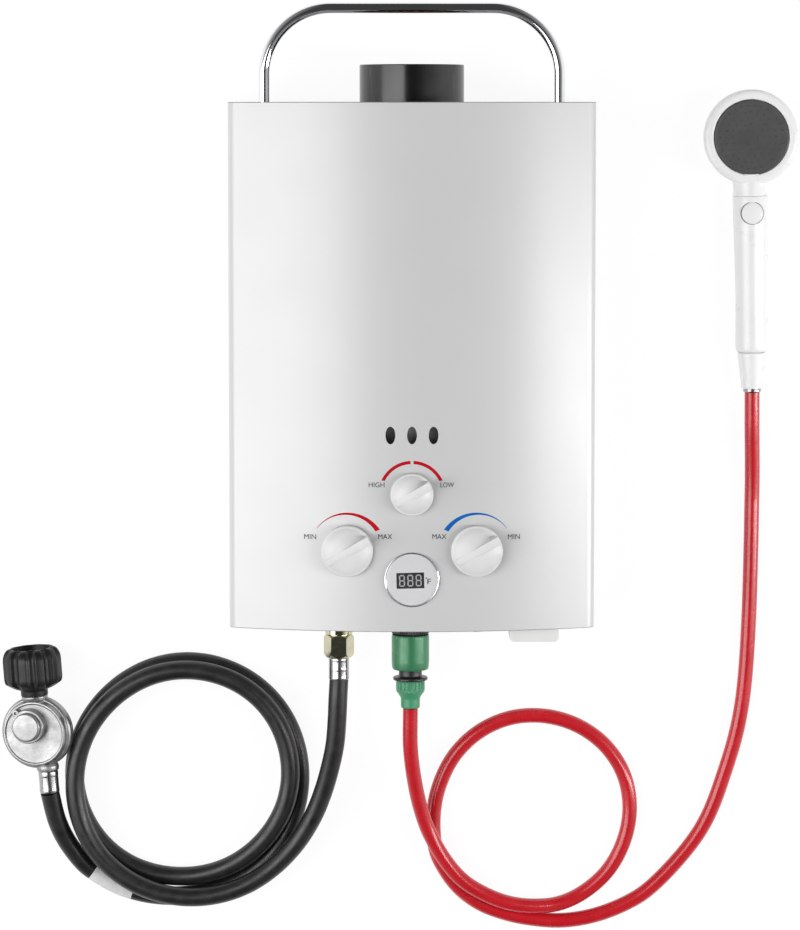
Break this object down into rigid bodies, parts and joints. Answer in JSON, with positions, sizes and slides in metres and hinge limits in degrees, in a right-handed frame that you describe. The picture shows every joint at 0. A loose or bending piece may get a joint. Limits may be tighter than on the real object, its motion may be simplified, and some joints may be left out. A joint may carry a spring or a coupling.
{
  "type": "portable propane water heater",
  "caption": "Flat white case with bowed front, round flue collar, folding chrome handle, three knobs and round display, with coiled gas hose and regulator, and a shower hose with handset.",
  "frame": {"origin": "centre of the back plate's rear face, which lies on the ground", "axes": "+X to the right of the control panel, +Y up the case towards the flue, +Z out of the front"},
  "size_m": [0.6544, 0.7668, 0.1395],
  "materials": {
    "case_paint": "satin white powder coat",
    "case_sheet": "plain coated sheet",
    "zinc": "zinc plated",
    "flue_black": "gloss black heat paint",
    "hood_steel": "plain steel sheet",
    "copper": "copper sheet and tube",
    "brass": "turned brass",
    "valve_alloy": "die cast",
    "valve_brass": "pressed brass",
    "black_plastic": "fine grain",
    "ceramic_white": "glazed insulator",
    "cell_wrap": "cell sleeve",
    "lid_plastic": "light grey plastic",
    "chrome": "polished",
    "display_face": "clear window over a grey face",
    "knob_plastic": "light grey plastic",
    "nut_brass": "pale plated brass",
    "hose_black": "smooth rubber",
    "reg_cast": "bare die casting",
    "wheel_black": "black plastic",
    "fitting_black": "black plastic",
    "sleeve_green": "green anodised",
    "nut_green": "green plastic",
    "hose_red": "smooth flexible hose",
    "handset_white": "white plastic",
    "spray_grey": "dark grey plastic"
  },
  "bodies": {
    "case": {"back_plate": "case_sheet", "front_cover": "case_paint", "top_panel": "case_sheet", "bottom_panel": "case_sheet", "cover_screws": "zinc", "flue_collar": "flue_black", "flue_hood": "hood_steel", "heat_exchanger": "copper", "combustion_chamber": "copper", "burner": "hood_steel", "gas_manifold": "brass", "section_valve": "brass", "gas_valve": "valve_alloy", "water_valve": "valve_brass", "micro_switch": "black_plastic", "gas_inlet_pipe": "brass", "cold_inlet_pipe": "brass", "feed_pipe": "copper", "hot_outlet_pipe": "copper", "igniter_module": "black_plastic", "spark_electrode": "ceramic_white", "flame_sensor": "ceramic_white", "overheat_sensor": "zinc", "battery_box": "black_plastic", "batteries": "cell_wrap", "display_module": "black_plastic", "display_bezel": "chrome", "display_lens": "display_face", "handle_brackets": "case_sheet", "handle_pins": "chrome", "gas_nut": "nut_brass", "gas_ferrule": "chrome", "gas_hose_lead": "hose_black", "gas_hose_coil": "hose_black", "gas_hose_tail": "hose_black", "regulator_ferrule": "chrome", "regulator_body": "reg_cast", "regulator_cover": "reg_cast", "regulator_cap": "reg_cast", "tank_nipple": "brass", "outlet_adapter": "fitting_black", "connector_body": "fitting_black", "connector_nut": "nut_green", "shower_hose": "hose_red", "hose_crimp": "chrome", "handset_nut": "handset_white", "handset_body": "handset_white", "handset_head": "handset_white", "spray_plate": "spray_grey"},
    "handle": {"handle_bail": "chrome"},
    "gas_control": {"gas_knob": "knob_plastic", "gas_stem": "chrome"},
    "water_control": {"water_knob": "knob_plastic", "water_stem": "chrome"},
    "mode_control": {"mode_knob": "knob_plastic", "mode_stem": "chrome"},
    "battery_cover": {"battery_lid": "lid_plastic"},
    "coupling_sleeve": {"connector_sleeve": "sleeve_green"},
    "tank_wheel": {"tank_handwheel": "wheel_black"},
    "stop_button": {"handset_button": "handset_white"}
  },
  "joints": [
    {"name": "handle_fold", "type": "hinge", "parent": "case", "child": "handle", "pos_m": [0, 0.202, 0.06], "axis": [1, 0, 0], "range_deg": [0, 74]},
    {"name": "gas_knob_turn", "type": "hinge", "parent": "case", "child": "gas_control", "pos_m": [-0.0515, -0.145, 0.11], "axis": [0, 0, 1], "range_deg": [0, 120]},
    {"name": "water_knob_turn", "type": "hinge", "parent": "case", "child": "water_control", "pos_m": [0.0515, -0.145, 0.11], "axis": [0, 0, 1], "range_deg": [0, 120]},
    {"name": "mode_knob_turn", "type": "hinge", "parent": "case", "child": "mode_control", "pos_m": [0, -0.0997, 0.11], "axis": [0, 0, 1], "range_deg": [0, 120]},
    {"name": "battery_lid_hinge", "type": "hinge", "parent": "case", "child": "battery_cover", "pos_m": [0.0983, -0.213, 0.02003], "axis": [1, 0, 0], "range_deg": [0, 90]},
    {"name": "handset_button_press", "type": "slide", "parent": "case", "child": "stop_button", "axis": [0, 0, -1], "range_m": [0, 0.0025], "stiffness_N_per_m": 400, "springref_m": -0.002},
    {"name": "connector_sleeve_slide", "type": "slide", "parent": "case", "child": "coupling_sleeve", "axis": [0, -1, 0], "range_m": [0, 0.003], "stiffness_N_per_m": 800, "springref_m": -0.002},
    {"name": "tank_handwheel_turn", "type": "hinge", "parent": "case", "child": "tank_wheel", "pos_m": [-0.31263, -0.25613, 0.0244], "axis": [-0.0698, 0.9976, 0], "continuous": true}
  ]
}
